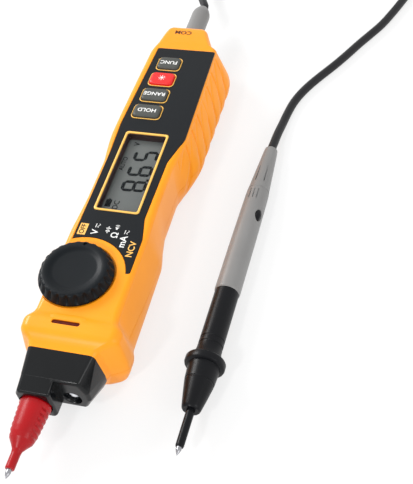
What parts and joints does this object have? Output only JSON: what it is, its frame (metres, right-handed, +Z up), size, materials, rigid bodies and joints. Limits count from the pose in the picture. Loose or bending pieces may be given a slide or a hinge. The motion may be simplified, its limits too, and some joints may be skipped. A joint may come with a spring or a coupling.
{
  "type": "pen multimeter",
  "caption": "Pen-type multimeter with rotary switch, display, keys, a probe in the nose, and a test lead that plugs into its tail.",
  "frame": {"origin": "middle of the meter's length and width, without its lead, on the surface that it lies on", "axes": "+Y from the probe's tip towards the COM end, +Z up out of the display, +X to the right seen from above with the probe towards the viewer"},
  "size_m": [0.1105, 0.3348, 0.029],
  "materials": {
    "orange_shell": "fine satin",
    "black_shell": "fine matte",
    "faceplate": "satin film",
    "lcd_bezel": "matte",
    "clear_window": "clear",
    "lcd_glass": "display film",
    "light_guide": "clear moulded",
    "zebra_rubber": "soft",
    "circuit_board": "solder mask",
    "gold": "gold plated",
    "chip": "moulded",
    "fuse_body": "ceramic",
    "steel": "nickel plated",
    "brass_disc": "rolled",
    "cell_jacket": "printed sleeve left plain",
    "dark_screw": "blackened",
    "led_lens": "moulded",
    "alarm_lens": "tinted",
    "red_led": "moulded",
    "copper": "plain foil",
    "dome_rubber": "silicone",
    "key_grey": "soft moulded",
    "key_red": "soft moulded",
    "knob_black": "satin",
    "white_plastic": "natural",
    "probe_red": "satin",
    "grip_grey": "satin",
    "pen_black": "satin",
    "cord_black": "smooth"
  },
  "bodies": {
    "case": {"upper_case": "orange_shell", "lower_case": "orange_shell", "nose_cap": "black_shell", "faceplate": "faceplate", "lcd_bezel": "lcd_bezel", "lcd_window": "clear_window", "lcd_glass": "lcd_glass", "backlight_panel": "light_guide", "zebra_strips": "zebra_rubber", "main_board": "circuit_board", "switch_tracks": "gold", "circuit_packages": "chip", "fuse": "fuse_body", "fuse_clips": "steel", "buzzer": "brass_disc", "cell_left": "cell_jacket", "cell_right": "cell_jacket", "battery_springs": "steel", "battery_plates": "steel", "case_screws": "dark_screw", "board_screws": "dark_screw", "com_jack": "gold", "com_jack_sleeve": "black_shell", "probe_socket": "gold", "torch_led": "led_lens", "alarm_window": "alarm_lens", "alarm_led": "red_led", "sensing_plate": "copper", "door_insert": "gold", "hold_dome": "dome_rubber", "range_dome": "dome_rubber", "light_dome": "dome_rubber", "func_dome": "dome_rubber"},
    "knob": {"knob": "knob_black", "switch_rotor": "white_plastic", "wiper_contacts": "gold", "detent_springs": "steel", "detent_balls": "steel"},
    "hold_key": {"hold_key": "key_grey"},
    "range_key": {"range_key": "key_grey"},
    "light_key": {"light_key": "key_red"},
    "func_key": {"func_key": "key_grey"},
    "battery_door": {"battery_door": "orange_shell", "door_screw": "dark_screw"},
    "probe": {"probe_body": "probe_red", "probe_needle": "steel", "probe_pin": "steel"},
    "lead": {"plug_body": "grip_grey", "plug_pin": "steel", "lead_at_plug": "cord_black", "lead_coil": "cord_black", "lead_at_pen": "cord_black", "pen_grip": "grip_grey", "pen_body": "pen_black", "pen_tip_sleeve": "pen_black", "pen_needle": "steel"}
  },
  "joints": [
    {"name": "knob_turn", "type": "hinge", "parent": "case", "child": "knob", "pos_m": [-0.0051, -0.0341, 0.0246], "axis": [0, 0, 1], "range_deg": [-45, 15]},
    {"name": "hold_press", "type": "slide", "parent": "case", "child": "hold_key", "axis": [0, 0, -1], "range_m": [0, 0.0008], "stiffness_N_per_m": 1500, "springref_m": -0.0004, "deforming": ["hold_dome"]},
    {"name": "range_press", "type": "slide", "parent": "case", "child": "range_key", "axis": [0, 0, -1], "range_m": [0, 0.0008], "stiffness_N_per_m": 1500, "springref_m": -0.0004, "deforming": ["range_dome"]},
    {"name": "light_press", "type": "slide", "parent": "case", "child": "light_key", "axis": [0, 0, -1], "range_m": [0, 0.0008], "stiffness_N_per_m": 1500, "springref_m": -0.0004, "deforming": ["light_dome"]},
    {"name": "func_press", "type": "slide", "parent": "case", "child": "func_key", "axis": [0, 0, -1], "range_m": [0, 0.0008], "stiffness_N_per_m": 1500, "springref_m": -0.0004, "deforming": ["func_dome"]},
    {"name": "battery_door_off", "type": "slide", "parent": "case", "child": "battery_door", "axis": [0, 0, -1], "range_m": [0, 0.03]},
    {"name": "probe_pull", "type": "slide", "parent": "case", "child": "probe", "axis": [0, -1, 0], "range_m": [0, 0.025]},
    {"name": "plug_pull", "type": "slide", "parent": "case", "child": "lead", "axis": [0, 1, 0], "range_m": [0, 0.025]}
  ]
}
